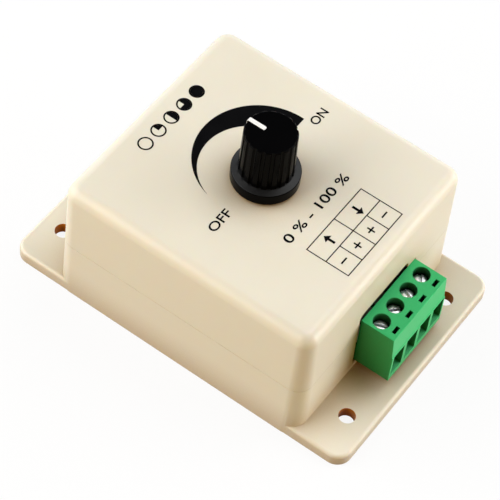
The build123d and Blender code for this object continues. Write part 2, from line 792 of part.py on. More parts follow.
with BuildPart() as timer_legs:
    leg_mid = board_top + chip_lift + chip_h / 2
    for side in (-1, 1):
        body_x = chip_x + side * chip_w / 2
        knee_x = body_x + side * chip_leg_out / 2
        toe_x = body_x + side * chip_leg_out
        for row in range(4):
            leg_y = chip_y + (row - 1.5) * chip_pitch
            with BuildSketch(Plane.XZ.offset(-leg_y)):
                with BuildLine():
                    Polyline(
                        (body_x, leg_mid),
                        (knee_x, leg_mid),
                        (knee_x, board_top + chip_leg_t),
                        (toe_x, board_top + chip_leg_t),
                        (toe_x, board_top),
                        (knee_x - side * chip_leg_t, board_top),
                        (knee_x - side * chip_leg_t, leg_mid - chip_leg_t),
                        (body_x, leg_mid - chip_leg_t),
                        close=True,
                    )
                make_face()
            extrude(amount=chip_leg_w / 2, both=True)
timer_legs.part.label = "timer_legs"
export_step(timer_legs.part, "parts/timer_legs.step")

with BuildPart() as diode:
    with BuildSketch(Plane.XY.offset(board_top)):
        with Locations((diode_x, diode_y)):
            Rectangle(diode_w, diode_l)
    extrude(amount=diode_h)
    chamfer(diode.faces().sort_by(Axis.Z)[-1].edges(), diode_h / 10)
diode.part.label = "diode"
export_step(diode.part, "parts/diode.step")

with BuildPart() as resistors:
    with BuildSketch(Plane.XY.offset(board_top)):
        with Locations((resistor_x, resistor_y)):
            with GridLocations(small_pitch, small_pitch, 2, 2):
                Rectangle(small_w, small_l)
    extrude(amount=resistor_h)
resistors.part.label = "resistors"
export_step(resistors.part, "parts/resistors.step")

with BuildPart() as ceramic_capacitors:
    with BuildSketch(Plane.XY.offset(board_top)):
        with Locations((ceramic_x, ceramic_y)):
            with GridLocations(small_pitch, small_pitch, 2, 1):
                Rectangle(small_w, small_l)
    extrude(amount=ceramic_h)
ceramic_capacitors.part.label = "ceramic_capacitors"
export_step(ceramic_capacitors.part, "parts/ceramic_capacitors.step")
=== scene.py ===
# %% [markdown]
# # A rotary dimmer for LED strips
#
# The dimmer is a cream plastic box on a mounting flange, with a fluted black knob on top and a
# green screw terminal block in its front wall. The solids give every size and place. This lesson
# dresses them: it models finer meshes for the pieces that show, gives each piece the finish of its
# real material, paints shade into the case's inner corners, the block's sides and the flange's
# holes, prints the cover and sets up the studio.

# %% [markdown]
# ## Load the solids
#
# The imported solids come in as a fixed frame, in metres, and each new piece goes where its solid is.
# Each solid's box can be measured, in millimetres, and some sizes and places below are read from
# these boxes. A maker thinks in millimetres, so the sizes of shapes below are written in them.

# %% Load the solids
from math import copysign, cos, pi, radians, sin, tan

import bmesh
import bpy
from mathutils import Matrix, Vector


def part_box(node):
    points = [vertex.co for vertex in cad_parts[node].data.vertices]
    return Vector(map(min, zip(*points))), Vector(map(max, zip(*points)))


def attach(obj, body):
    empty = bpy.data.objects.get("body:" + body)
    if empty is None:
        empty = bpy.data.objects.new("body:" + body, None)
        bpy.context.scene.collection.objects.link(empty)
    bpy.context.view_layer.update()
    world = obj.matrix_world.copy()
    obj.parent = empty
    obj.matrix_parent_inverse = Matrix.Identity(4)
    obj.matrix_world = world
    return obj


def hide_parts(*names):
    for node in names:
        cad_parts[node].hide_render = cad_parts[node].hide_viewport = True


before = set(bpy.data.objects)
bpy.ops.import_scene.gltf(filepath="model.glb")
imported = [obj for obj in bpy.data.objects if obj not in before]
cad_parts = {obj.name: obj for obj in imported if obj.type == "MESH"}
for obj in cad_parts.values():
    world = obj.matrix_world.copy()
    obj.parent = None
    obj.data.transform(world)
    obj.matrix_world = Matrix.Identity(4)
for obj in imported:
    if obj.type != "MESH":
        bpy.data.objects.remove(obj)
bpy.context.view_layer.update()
MM = 0.001


def node_box(name):
    """A solid's lowest and highest corners, in millimetres."""
    return [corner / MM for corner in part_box(name)]


# %% [markdown]
# ## Camera
#
# The place and the turns of the camera were found by fitting the box's own edges to the photo. The
# lens is long, as in most product photos, so the edges run almost parallel. A camera that is aimed
# at the middle of the object would be simpler, but the photo has a slight roll that it would lose.

# %% Camera
CAMERA_PLACE = Vector((-259.04, -143.34, 424.45)) * MM
CAMERA_TURN = (35.162, -4.621, -54.278)
LENS, SENSOR = 168.2, 36.0


def put_in_scene(name, data):
    """A new object at the origin, linked to the scene."""
    made = bpy.data.objects.new(name, data)
    bpy.context.scene.collection.objects.link(made)
    return made


camera = put_in_scene("Camera", bpy.data.cameras.new("Camera"))
camera.data.lens, camera.data.sensor_width = LENS, SENSOR
camera.location = CAMERA_PLACE
camera.rotation_euler = [radians(turn) for turn in CAMERA_TURN]
bpy.context.scene.camera = camera
print("camera at", [round(c, 3) for c in camera.location])

# %% [markdown]
# ## Helpers for colours and nodes
#
# Colours are written as sRGB hex values, the way a paint chart gives them, and one function turns
# them into the linear values that a shader wants. Adding a node takes several lines by hand. One
# function does it in one call: an input that is given a socket is linked, and any other is set.


# %% Colour and node helpers
def linear(code):
    """An sRGB hex colour as linear red, green, blue and alpha."""
    shares = [int(code[i : i + 2], 16) / 255 for i in (1, 3, 5)]
    return (*[c / 12.92 if c <= 0.04045 else ((c + 0.055) / 1.055) ** 2.4 for c in shares], 1.0)


def node(tree, kind, inputs=None, **settings):
    """Adds a shader node, with its settings, its input values and its links."""
    made = tree.nodes.new("ShaderNode" + kind)
    for name, value in settings.items():
        setattr(made, name, value)
    for socket, value in (inputs or {}).items():
        if isinstance(value, bpy.types.NodeSocket):
            tree.links.new(value, made.inputs[socket])
        else:
            made.inputs[socket].default_value = value
    return made


print("middle grey in linear light:", round(linear("#808080")[0], 3))

# %% [markdown]
# ## A surface that is never quite even
#
# A moulded or plated surface has a fine grain that breaks up the gloss, and a slow drift in shade
# and sheen across it. Scanned images could show both, but they would have to be laid over each
# piece. Two noise patterns in object space need no such layout: a slow one for the colour and the
# roughness, and a fine one for the bump. Light that goes to and fro between two close walls takes
# on their colour each time, so inner corners look deeper. A render with few bounces loses that, so
# a finish may have painted corner shade: a colour that takes over as the ambient occlusion node
# finds other surfaces within reach.

# %% Uneven finish
NOISE_LOW, NOISE_HIGH = 0.3, 0.7  # noise seldom leaves this range
GRAIN_DETAIL, PAINTED_SHADE_RAYS = 2.0, 8


def waves_per_metre(size_mm):
    """The texture scale at which a pattern repeats about once in a size given in millimetres."""
    return 1 / (size_mm * MM)


def uneven_finish(name, surface, shades, gloss, drift_mm, drift_detail, grain, corner=None):
    """A finish that drifts between two shades and between two values of roughness, over a grain.

    The grain is a size and a depth, and the corner is painted shade: a colour and a reach, all in
    millimetres.
    """
    finish = bpy.data.materials.new(name)
    finish.use_nodes = True
    tree = finish.node_tree
    shader = tree.nodes["Principled BSDF"]
    for socket, value in surface.items():
        shader.inputs[socket].default_value = value
    place = node(tree, "TexCoord").outputs["Object"]

    slow = {"Vector": place, "Scale": waves_per_metre(drift_mm), "Detail": drift_detail}
    drift = node(tree, "TexNoise", slow).outputs["Fac"]
    mix = {"Factor": drift, "A": linear(shades[0]), "B": linear(shades[1])}
    shade = node(tree, "Mix", mix, data_type="RGBA").outputs["Result"]
    if corner:
        # painted shade: the corner colour takes over where the ambient occlusion node finds other
        # surfaces near
        colour, reach_mm = corner
        painted_shade_ao = node(tree, "AmbientOcclusion", {"Distance": reach_mm * MM}, samples=PAINTED_SHADE_RAYS)
        mix = {"Factor": painted_shade_ao.outputs["AO"], "A": linear(colour), "B": shade}
        shade = node(tree, "Mix", mix, data_type="RGBA").outputs["Result"]
    tree.links.new(shade, shader.inputs["Base Color"])

    span = {"From Min": NOISE_LOW, "From Max": NOISE_HIGH, "To Min": gloss[0], "To Max": gloss[1]}
    sheen = node(tree, "MapRange", {"Value": drift, **span}).outputs["Result"]
    tree.links.new(sheen, shader.inputs["Roughness"])

    grain_mm, grain_depth_mm = grain
    fine = {"Vector": place, "Scale": waves_per_metre(grain_mm), "Detail": GRAIN_DETAIL}
    height = node(tree, "TexNoise", fine).outputs["Fac"]
    bump = node(tree, "Bump", {"Height": height, "Distance": grain_depth_mm * MM}).outputs["Normal"]
    tree.links.new(bump, shader.inputs["Normal"])
    return finish


print("a grain of 0.35 mm has", round(waves_per_metre(0.35)), "waves in a metre")

# %% [markdown]
# ## Moulded plastic
#
# Every plastic piece here is injection moulded against a spark-eroded steel tool. The tool gives
# the grain, and the melt that flows into it gives the drift. The real grain is about 0.05 mm, too
# fine to show here, so it is drawn a few times coarser. The case is cream ABS: light goes about a
# millimetre into it, which softens its edges. Its inner corners get a painted deep, warm tan shade,
# and the walls of the flange's holes a painted amber shade and glow.


# %% Cream plastic for the case
def moulded_plastic(name, shades, gloss, grain, surface, flow_mm=14.0, corner=None):
    """Plastic whose shade and sheen drift where the melt flowed, with painted corner shade if given.
    """
    return uneven_finish(name, surface, shades, gloss, flow_mm, 3.0, grain, corner)


# Satin and a little milky: broad soft highlights, and a painted warm shade in inner corners.
case_abs = moulded_plastic(
    "Cream ABS, satin moulding",
    shades=("#E5DECC", "#E9E3D2"),
    gloss=(0.34, 0.42),
    grain=(0.35, 0.004),
    surface={
        "IOR": 1.54,
        "Subsurface Weight": 0.2,
        "Subsurface Radius": (1.0, 0.5, 0.2),
        "Subsurface Scale": 1.2 * MM,
    },
    # painted shade: inner corners within 10 mm of other surfaces turn a deep warm tan
    corner=("#9C7006", 10.0),
)
# Painted shade and glow for the walls of holes in thin plastic: little gloss, a strong amber.
hole_shade_abs = moulded_plastic(
    "Cream ABS, painted amber shade and glow in holes",
    shades=("#B06A0C", "#C47A12"),
    gloss=(0.4, 0.5),
    grain=(0.35, 0.004),
    surface={"IOR": 1.15},
)
print("case finishes:", case_abs.name, "|", hole_shade_abs.name)

# %% [markdown]
# ## Starting shapes
#
# Shapes are modelled in millimetres. Most pieces here begin as a box or as a turned outline, like
# the blanks in a workshop. A turned shape is a line of points, spun once round an upright axis. The
# last step of the spin lands on the first, so it is merged to close the seam.

# %% Boxes and turned shapes
NEAR = 0.001  # points and heights closer than this are one


def box_shape(low, high):
    """A box between two corners."""
    shape = bmesh.new()
    bmesh.ops.create_cube(shape, size=1)
    bmesh.ops.scale(shape, vec=Vector(high) - Vector(low), verts=shape.verts)
    bmesh.ops.translate(shape, vec=(Vector(low) + Vector(high)) / 2, verts=shape.verts)
    return shape


def lathe_shape(outline, centre, steps=96):
    """A closed outline of (radius, height) points, turned about an upright axis through centre."""
    shape = bmesh.new()
    corners = [shape.verts.new((centre[0] + r, centre[1], z)) for r, z in outline]
    rim = [shape.edges.new(pair) for pair in zip(corners, corners[1:])]
    if outline[0][0] > 0:
        rim.append(shape.edges.new((corners[-1], corners[0])))
    bmesh.ops.spin(
        shape,
        geom=corners + rim,
        cent=(centre[0], centre[1], 0),
        axis=(0, 0, 1),
        angle=2 * pi,
        steps=steps,
        use_merge=True,
    )
    bmesh.ops.remove_doubles(shape, verts=shape.verts, dist=NEAR)
    return shape


def rod(radius, low, high):
    """The outline of a plain round rod or hole, for the lathe."""
    return [(0, low), (radius, low), (radius, high), (0, high)]


trial = lathe_shape(rod(1, 0, 2), (0, 0))
print("a turned rod has", len(trial.faces), "faces and", len(trial.verts), "points")
trial.free()

# %% [markdown]
# ## Joining and cutting
#
# A mould is cut as a core, and pockets and holes are then sunk into it. The Boolean modifier works
# the same way on closed shapes, so it joins posts and cuts holes here. The same result could be
# drawn face by face, but then each hole would have to be stitched into its wall by hand.


# %% Joining and cutting
def gather(*shapes):
    """One shape that holds several, which are used up."""
    whole = bmesh.new()
    for shape in shapes:
        part = bpy.data.meshes.new("part")
        shape.to_mesh(part)
        shape.free()
        whole.from_mesh(part)
        bpy.data.meshes.remove(part)
    return whole


def solid_from(shape):
    """A throw-away object that holds a shape for the Boolean modifier."""
    bmesh.ops.recalc_face_normals(shape, faces=shape.faces)
    mesh = bpy.data.meshes.new("working")
    shape.to_mesh(mesh)
    shape.free()
    return put_in_scene("working", mesh)


def combine(shape, tool, operation):
    """The union, difference or overlap of two closed shapes, which are used up."""
    target, cutter = solid_from(shape), solid_from(tool)
    step = target.modifiers.new("Combine", "BOOLEAN")
    step.object, step.operation, step.solver, step.use_self = cutter, operation, "EXACT", True
    result = bmesh.new()
    result.from_object(target, bpy.context.evaluated_depsgraph_get())
    for holder in (target, cutter):
        bpy.data.meshes.remove(holder.data)
    return result


trial = combine(box_shape((0, 0, 0), (2, 2, 2)), box_shape((1, 1, 1), (3, 3, 3)), "DIFFERENCE")
print("a cube of 8 less its corner of 1 leaves", round(abs(trial.calc_volume()), 3))
trial.free()

# %% [markdown]
# ## Edges and steps
#
# No moulded edge is sharp, and each edge catches a line of light. Bevels with several segments
# round them. A hollow is made in two moves: its face is inset by the wall's thickness, and then
# pushed in.


# %% Edges and steps
def verts_of(parts):
    """The points among the parts that an operator hands back."""
    return [part for part in parts if isinstance(part, bmesh.types.BMVert)]


def edges_at(shape, level):
    """The edges that lie at a height."""
    return [e for e in shape.edges if all(abs(v.co.z - level) < NEAR for v in e.verts)]


def upright_edges(shape):
    """The edges that stand upright."""
    return [e for e in shape.edges if e.verts[0].co.xy == e.verts[1].co.xy]


def soften(shape, edges, radius, segments):
    """Rounds edges to a radius."""
    bmesh.ops.bevel(
        shape,
        geom=edges,
        offset=radius,
        affect="EDGES",
        segments=segments,
        profile=0.5,
        material=-1,
    )


def step_face(shape, level, inset, rise):
    """Insets the flat face at a height and moves its middle up or down."""
    flat = [f for f in shape.faces if all(abs(v.co.z - level) < NEAR for v in f.verts)]
    bmesh.ops.inset_region(shape, faces=flat, thickness=inset, use_even_offset=True)
    moved = bmesh.ops.extrude_face_region(shape, geom=flat)["geom"]
    bmesh.ops.delete(shape, geom=[f for f in flat if f.is_valid], context="FACES_ONLY")
    bmesh.ops.translate(shape, vec=(0, 0, rise), verts=verts_of(moved))


trial = box_shape((0, 0, 0), (2, 2, 2))
step_face(trial, 2, 0.5, -1)
print("a cube of 8 with a pocket of 1 leaves", round(abs(trial.calc_volume()), 3))
trial.free()

# %% [markdown]
# ## From shape to piece
#
# A finished shape becomes metres in one place, where it turns into a piece that rides on a body of
# the model and hides the solids that it stands for. Weighted normals keep the large flat walls flat
# where they run into a rounded edge. Some faces of a piece may have a finish of their own.

# %% Pieces and their faces
SHARP_FROM = 32.0


def make_piece(shape, name, body, finish, replaces=()):
    """Turns a shape in millimetres into a piece in metres that rides on a body."""
    bmesh.ops.remove_doubles(shape, verts=shape.verts, dist=NEAR)
    bmesh.ops.recalc_face_normals(shape, faces=shape.faces)
    bmesh.ops.scale(shape, vec=(MM, MM, MM), verts=shape.verts)
    mesh = bpy.data.meshes.new(name)
    shape.to_mesh(mesh)
    shape.free()
    mesh.shade_smooth()
    mesh.set_sharp_from_angle(angle=radians(SHARP_FROM))
    mesh.materials.append(finish)
    piece = put_in_scene(name, mesh)
    piece.modifiers.new("Flat walls stay flat", "WEIGHTED_NORMAL").keep_sharp = True
    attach(piece, body)
    if replaces:
        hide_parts(*replaces)
    sizes = [round(d / MM, 2) for d in piece.dimensions]
    print(name, "faces:", len(mesh.polygons), "size mm:", sizes)
    return piece


def finish_faces(piece, finish, wanted):
    """Gives some faces a finish of their own, picked by their middle in mm and their direction."""
    piece.data.materials.append(finish)
    picked = [face for face in piece.data.polygons if wanted(face.center / MM, face.normal)]
    for face in picked:
        face.material_index = len(piece.data.materials) - 1
    print(piece.name, "faces in", finish.name + ":", len(picked))


# %% [markdown]
# ## Case: sizes and blocks
#
# The box is two mouldings that meet at a thin parting line. Both have a degree of draft, so that
# they leave the mould. Each starts as a cube whose upright edges are rounded. Scaling the top would
# squash the round corners, so the draft draws every corner in towards its own centre, and the
# corner's radius shrinks with height as it does on a real moulding.

# %% Case sizes and blocks
cover_low, cover_high = node_box("top_cover")
CASE_W, CASE_L, CASE_H = 59.0, 64.4, cover_high.z
CORNER, LEAN, TOP_EDGE = 4.0, tan(radians(1.0)), 2.9
PART_Z, PART_BEVEL = cover_low.z, 0.15
WALL, ROOF, TRAY_FLOOR = 2.0, 2.2, 2.0
LIP_H, LIP_T, LIP_GAP = 1.2, 0.9, 0.15
PAST = 1  # how far a cutter stands past what it cuts
BITE = 0.5  # how far a joined post runs into what carries it


def moulded_block(width, length, low, high, corner, lean=0.0):
    """An upright block with round corners. Its plan is given at height 0 and shrinks by lean."""
    shape = box_shape((-width / 2, -length / 2, low), (width / 2, length / 2, high))
    soften(shape, upright_edges(shape), corner, 12)
    x, y = width / 2 - corner, length / 2 - corner
    for v in shape.verts:
        middle = Vector((copysign(x, v.co.x), copysign(y, v.co.y), v.co.z))
        v.co = middle + (v.co - middle) * (1 - v.co.z * lean / corner)
    return shape


print("case", CASE_W, "x", CASE_L, "x", round(CASE_H, 2), "mm, parting line at", round(PART_Z, 2))

# %% [markdown]
# ## Case: the terminal notch
#
# The terminal block stands in a notch that both halves of the case share. Over most of the block's
# length the notch reaches a little higher than the block, and a dark slit shows there. One shape
# cuts both halves, so that the notch runs on across the parting line.

# %% Terminal notch
NOTCH_X, NOTCH_Z = (-8.71, 12.92), (4.7, 20.2)
SLIT_END_X, SLIT_TOP, SLIT_CORNER = 9.7, 22.3, 1.4
NOTCH_Y = (-CASE_L / 2 - PAST, -CASE_L / 2 + 2 * WALL)


def terminal_notch():
    """The opening in the front wall, with the slit above it, as a shape to cut with."""
    front, back = NOTCH_Y
    room = box_shape((NOTCH_X[0], front, NOTCH_Z[0]), (NOTCH_X[1], back, NOTCH_Z[1]))
    slit = box_shape((NOTCH_X[0], front, NOTCH_Z[1] - PAST), (SLIT_END_X, back, SLIT_TOP))
    ends = [e for e in edges_at(slit, SLIT_TOP) if abs(e.verts[0].co.x - e.verts[1].co.x) < NEAR]
    soften(slit, ends, SLIT_CORNER, 10)
    return gather(room, slit)


print("notch", round(NOTCH_X[1] - NOTCH_X[0], 2), "mm wide, its slit up to", SLIT_TOP)

# %% [markdown]
# ## Case: cover
#
# The cover has a large soft edge round its top, a rebate inside its rim that takes the tray's lip,
# and four pillars that take the case screws. The block is rounded while it is still plain, because
# a bevel is cleanest before anything is cut. It is then hollowed from below in two steps, the first
# of which makes the rebate, and the pillars, the notch and the hole for the potentiometer's bush
# follow.

# %% Cover
BOSS_X, BOSS_Y, BOSS_R = 24.214, 26.914, 3.4
PILOT_R, PILOT_DEPTH = 1.3, 9
KNOB_Y, BUSH_HOLE_R = 0.3, 3.65


def mirrored_spots(x, y):
    """The four spots of a rectangular pattern about the middle."""
    return [(sx * x, sy * y) for sx in (-1, 1) for sy in (-1, 1)]


def posts(spots, outline):
    """The same turned shape at several spots."""
    return gather(*[lathe_shape(outline, spot, 48) for spot in spots])


boss_spots = mirrored_spots(BOSS_X, BOSS_Y)
roof_z, lip_z = CASE_H - ROOF, PART_Z + LIP_H + LIP_GAP
pillar = rod(BOSS_R, PART_Z, roof_z + BITE)
pilot = rod(PILOT_R, PART_Z - PAST, PART_Z + PILOT_DEPTH)
bush_hole = rod(BUSH_HOLE_R, roof_z - PAST, CASE_H + PAST)

cover = moulded_block(CASE_W, CASE_L, PART_Z, CASE_H, CORNER, LEAN)
soften(cover, edges_at(cover, CASE_H), TOP_EDGE, 14)
soften(cover, edges_at(cover, PART_Z), PART_BEVEL, 2)
step_face(cover, PART_Z, WALL - LIP_T - LIP_GAP - PART_BEVEL, LIP_H + LIP_GAP)
step_face(cover, lip_z, LIP_T + LIP_GAP, roof_z - lip_z)
cover = combine(cover, posts(boss_spots, pillar), "UNION")
cover = combine(cover, posts(boss_spots, pilot), "DIFFERENCE")
cover = combine(cover, terminal_notch(), "DIFFERENCE")
cover = combine(cover, lathe_shape(bush_hole, (0, KNOB_Y)), "DIFFERENCE")
make_piece(cover, "cover_shell", "case", case_abs, ["top_cover"])

# %% [markdown]
# ## Case: tray with its flange
#
# The tray and the mounting flange are one moulding, with a lip round the tray's rim that keeps the
# cover in place. The flange is a second block with a rounded upper edge. A well is cut in its
# middle before it joins the tray, so that it doesn't fill the tray again. The bosses have stepped
# holes for the case screws from below. The walls of the flange's four holes are thin and lit
# through, so they get a finish with a painted amber shade and glow.

# %% Tray with its flange
FLANGE_W, FLANGE_L, FLANGE_T = 58.8, node_box("base_tray")[1].y * 2, 3.0
FLANGE_CORNER, FLANGE_EDGE, WELL_INSET = 3.5, 0.9, 3
HOLE_R, HOLE_X, HOLE_Y = 1.9, 19.2, 38.2
SEAT_R, SEAT_Z, SCREW_HOLE_R = 3.0, 3.2, 1.6
hole_spots = mirrored_spots(HOLE_X, HOLE_Y)
boss = rod(BOSS_R, TRAY_FLOOR - BITE, PART_Z)
seat = rod(SEAT_R, -PAST, SEAT_Z)[:-1] + rod(SCREW_HOLE_R, SEAT_Z, PART_Z + PAST)[1:]
hole = rod(HOLE_R, -PAST, FLANGE_T + PAST)

tray = moulded_block(CASE_W, CASE_L, 0, PART_Z, CORNER, LEAN)
soften(tray, edges_at(tray, PART_Z), PART_BEVEL, 2)
step_face(tray, PART_Z, WALL - LIP_T - PART_BEVEL, LIP_H)
step_face(tray, PART_Z + LIP_H, LIP_T, TRAY_FLOOR - PART_Z - LIP_H)
flange = moulded_block(FLANGE_W, FLANGE_L, 0, FLANGE_T, FLANGE_CORNER)
soften(flange, edges_at(flange, FLANGE_T), FLANGE_EDGE, 8)
well = (CASE_W - WELL_INSET, CASE_L - WELL_INSET, TRAY_FLOOR, FLANGE_T + PAST, CORNER)
flange = combine(flange, moulded_block(*well), "DIFFERENCE")
tray = combine(tray, flange, "UNION")
tray = combine(tray, posts(boss_spots, boss), "UNION")
tray = combine(tray, posts(boss_spots, seat), "DIFFERENCE")
tray = combine(tray, posts(hole_spots, hole), "DIFFERENCE")
tray = combine(tray, terminal_notch(), "DIFFERENCE")
tray_piece = make_piece(tray, "tray_shell", "case", case_abs, ["base_tray"])


def in_hole(middle, direction):
    """True for a face on the wall of one of the flange's holes."""
    reach = min((middle.xy - Vector(spot)).length for spot in hole_spots)
    return reach < HOLE_R + 0.1 and abs(direction.z) < 0.3


# the hole walls get the painted amber shade and glow
finish_faces(tray_piece, hole_shade_abs, in_hole)

# %% [markdown]
# ## Print: the ink
#
# The print on the cover is a thin layer of black pad-printing ink. It could be a pattern in the
# cover's material, but real outlines stay crisp at any distance. Every mark is a flat outline
# first, made by spinning an edge or by cutting a rectangle, and is then raised by the thickness of
# the ink.

# %% Ink
INK_T = 0.02
# Dense and nearly matt: black from every side, with a faint skin on it.
pad_ink = moulded_plastic(
    "Black pad-printing ink, semi-matt",
    shades=("#050506", "#08080A"),
    gloss=(0.4, 0.55),
    grain=(0.25, 0.003),
    surface={"IOR": 1.12},
    flow_mm=3.0,
)


def raise_ink(shape):
    """Gives a flat outline the thickness of the ink."""
    top = bmesh.ops.extrude_face_region(shape, geom=list(shape.faces))["geom"]
    bmesh.ops.translate(shape, vec=(0, 0, INK_T), verts=verts_of(top))
    return shape


def ray_at(degrees, length):
    """A level line of a given length in a direction counted from +X."""
    return Vector((cos(radians(degrees)), sin(radians(degrees)), 0)) * length


print("ink:", pad_ink.name, INK_T, "mm thick")

# %% [markdown]
# ## Print: crescent
#
# A crescent round the knob widens from OFF to ON. Its outer and inner edges are arcs of two circles
# whose centres lie a little apart, as a draughtsman would draw them. Each arc is one point, spun
# about its own centre, and a bridge between the two arcs fills the crescent.

# %% Crescent
ARC_STEPS, TIP_MERGE = 96, 0.02
OUTER_ARC = {"centre": (3.33, 3.46), "radius": 14.87, "start": -2.1, "end": 165.1}
INNER_ARC = {"centre": (0.04, 3.61), "radius": 11.65, "start": -3.4, "end": 161.6}


def arc_of(shape, centre, radius, start, end):
    """The edges of an arc, made by spinning one point about the centre of its circle."""
    spot = Vector((*centre, CASE_H))
    point = shape.verts.new(spot + ray_at(start, radius))
    known = set(shape.edges)
    turn = radians(end - start)
    bmesh.ops.spin(shape, geom=[point], cent=spot, axis=(0, 0, 1), angle=turn, steps=ARC_STEPS)
    return [e for e in shape.edges if e not in known]


crescent = bmesh.new()
arcs = arc_of(crescent, **OUTER_ARC) + arc_of(crescent, **INNER_ARC)
bmesh.ops.bridge_loops(crescent, edges=arcs)
bmesh.ops.remove_doubles(crescent, verts=crescent.verts, dist=TIP_MERGE)
crescent = raise_ink(crescent)
print("crescent faces:", len(crescent.faces))

# %% [markdown]
# ## Print: five discs
#
# A row of five discs fills up from dark to bright, a quarter more each time. A ring is a short
# radial edge that is spun all the way round, and a filled part is a longer one that is spun through
# as many quarters as it needs. The filled part ends just short of the ring, so that no two points
# fall together.

# %% Five discs, from empty to full
DISC_X, DISC_Y, DISC_GAP = 0.5, 25.15, 4.55
DISC_R, RING_R, SHORT_OF_RING = 1.75, 1.4, 0.02


def spun_edge(centre, inner, outer, angle, steps):
    """The flat area that an edge, which starts along +Y, sweeps about a centre."""
    shape = bmesh.new()
    spot = Vector((*centre, CASE_H))
    ends = [shape.verts.new(spot + ray_at(90, r)) for r in (inner, outer)]
    bmesh.ops.spin(
        shape,
        geom=ends + [shape.edges.new(ends)],
        cent=spot,
        axis=(0, 0, 1),
        angle=radians(angle),
        steps=steps,
        use_merge=abs(angle) == 360,
    )
    bmesh.ops.remove_doubles(shape, verts=shape.verts, dist=NEAR)
    return raise_ink(shape)


discs = []
for quarters in range(5):
    spot = (DISC_X + (quarters - 2) * DISC_GAP, DISC_Y)
    discs.append(spun_edge(spot, RING_R, DISC_R, 360, 64))
    if quarters:
        discs.append(spun_edge(spot, 0, RING_R - SHORT_OF_RING, -90 * quarters, 16 * quarters))
discs = gather(*discs)
print("disc row faces:", len(discs.faces))

# %% [markdown]
# ## Print: grid by the terminals
#
# A small table of thin lines stands above the terminals, with two wide cells over four narrow ones.
# It could be built of separate bars, but they would overlap at each crossing. Here one rectangle is
# inset for its border, cut into cells, and each cell is inset by half a line. The cells' middles
# are then deleted, and what is left is the lines.

# %% Grid
GRID_LOW, GRID_HIGH, LINE = Vector((-9.5, -27.5)), Vector((10.5, -17.08)), 0.22
ROW_Y, LOW_ROW_X = -21.9, (-4.46, 5.5)
grid_middle, grid_span = (GRID_LOW + GRID_HIGH) / 2, GRID_HIGH - GRID_LOW


def flat_sheet(width, height):
    """A flat rectangle about the origin."""
    shape = bmesh.new()
    bmesh.ops.create_grid(shape, x_segments=1, y_segments=1, size=0.5)
    bmesh.ops.scale(shape, vec=(width, height, 1), verts=shape.verts)
    return shape


def grid_cells(below=0.0):
    """The cells inside the grid's border whose middles lie below a line."""
    reach = grid_span / 2 + Vector((0.01, 0.01))
    offsets = {v: v.co.xy - grid_middle for v in grid.verts}
    inside = {v for v, off in offsets.items() if abs(off.x) < reach.x and abs(off.y) < reach.y}
    cells = [f for f in grid.faces if inside.issuperset(f.verts)]
    return [f for f in cells if f.calc_center_median().y < below]


def cut_cells(cells, place, across):
    """Cuts cells along a line through a place."""
    parts = list({part for f in cells for part in (f, *f.edges, *f.verts)})
    spot = (*place, CASE_H)
    bmesh.ops.bisect_plane(grid, geom=parts, dist=1e-4, plane_co=spot, plane_no=across)


grid = flat_sheet(grid_span.x + LINE, grid_span.y + LINE)
bmesh.ops.translate(grid, vec=(*grid_middle, CASE_H), verts=grid.verts)
half_line = {"thickness": LINE / 2, "use_even_offset": True}
bmesh.ops.inset_region(grid, faces=list(grid.faces), use_boundary=True, **half_line)
cut_cells(grid_cells(), (0, ROW_Y), (0, 1, 0))
cut_cells(grid_cells(), grid_middle, (1, 0, 0))
for x in LOW_ROW_X:
    cut_cells(grid_cells(ROW_Y), (x, 0), (1, 0, 0))
rims = bmesh.ops.inset_individual(grid, faces=grid_cells(), **half_line)["faces"]
bmesh.ops.delete(grid, geom=[f for f in grid_cells() if f not in rims], context="FACES_ONLY")
grid = raise_ink(grid)
print("grid faces:", len(grid.faces))

# %% [markdown]
# ## Print: arrows and signs
#
# The wide cells hold an arrow each, in and out, and the narrow ones the poles' plus and minus
# signs. A sign is one to three bars. An arrow starts as its shaft: the tip's edge is extruded in
# place and widened, and then extruded once more, and its two new points are merged into the arrow's
# point.

# %% Arrows and signs
ARROW_Y, SHAFT_W, SHAFT_L, HEAD_WIDER, HEAD_L, ARROW_BACK = -19.5, 0.6, 1.6, 3.6, 1.2, 0.4
SIGN_Y, SIGN_W, STROKE, HALF_UPRIGHT = -24.7, 1.9, 0.36, 0.77


def arrow(x, y, turn):
    """A thick arrow of ink that points along +Y, turned by an angle about its middle."""
    shape = flat_sheet(SHAFT_W, SHAFT_L)
    tip = next(e for e in shape.edges if all(v.co.y > 0 for v in e.verts))
    head = verts_of(bmesh.ops.extrude_edge_only(shape, edges=[tip])["geom"])
    bmesh.ops.scale(shape, vec=(HEAD_WIDER, 1, 1), verts=head)
    widest = next(e for e in shape.edges if set(e.verts) == set(head))
    point = verts_of(bmesh.ops.extrude_edge_only(shape, edges=[widest])["geom"])
    bmesh.ops.translate(shape, vec=(0, HEAD_L, 0), verts=point)
    bmesh.ops.pointmerge(shape, verts=point, merge_co=sum((v.co for v in point), Vector()) / 2)
    bmesh.ops.remove_doubles(shape, verts=shape.verts, dist=NEAR)
    bmesh.ops.translate(shape, vec=(0, -ARROW_BACK, 0), verts=shape.verts)
    about = Matrix.Rotation(turn, 3, "Z")
    bmesh.ops.rotate(shape, cent=(0, 0, 0), matrix=about, verts=shape.verts)
    bmesh.ops.translate(shape, vec=(x, y, CASE_H), verts=shape.verts)
    return raise_ink(shape)


def bar(x, y, width, height):
    """A flat bar of ink about a middle point."""
    half = Vector((width / 2, height / 2))
    low, high = Vector((x, y)) - half, Vector((x, y)) + half
    return box_shape((*low, CASE_H), (*high, CASE_H + INK_T))


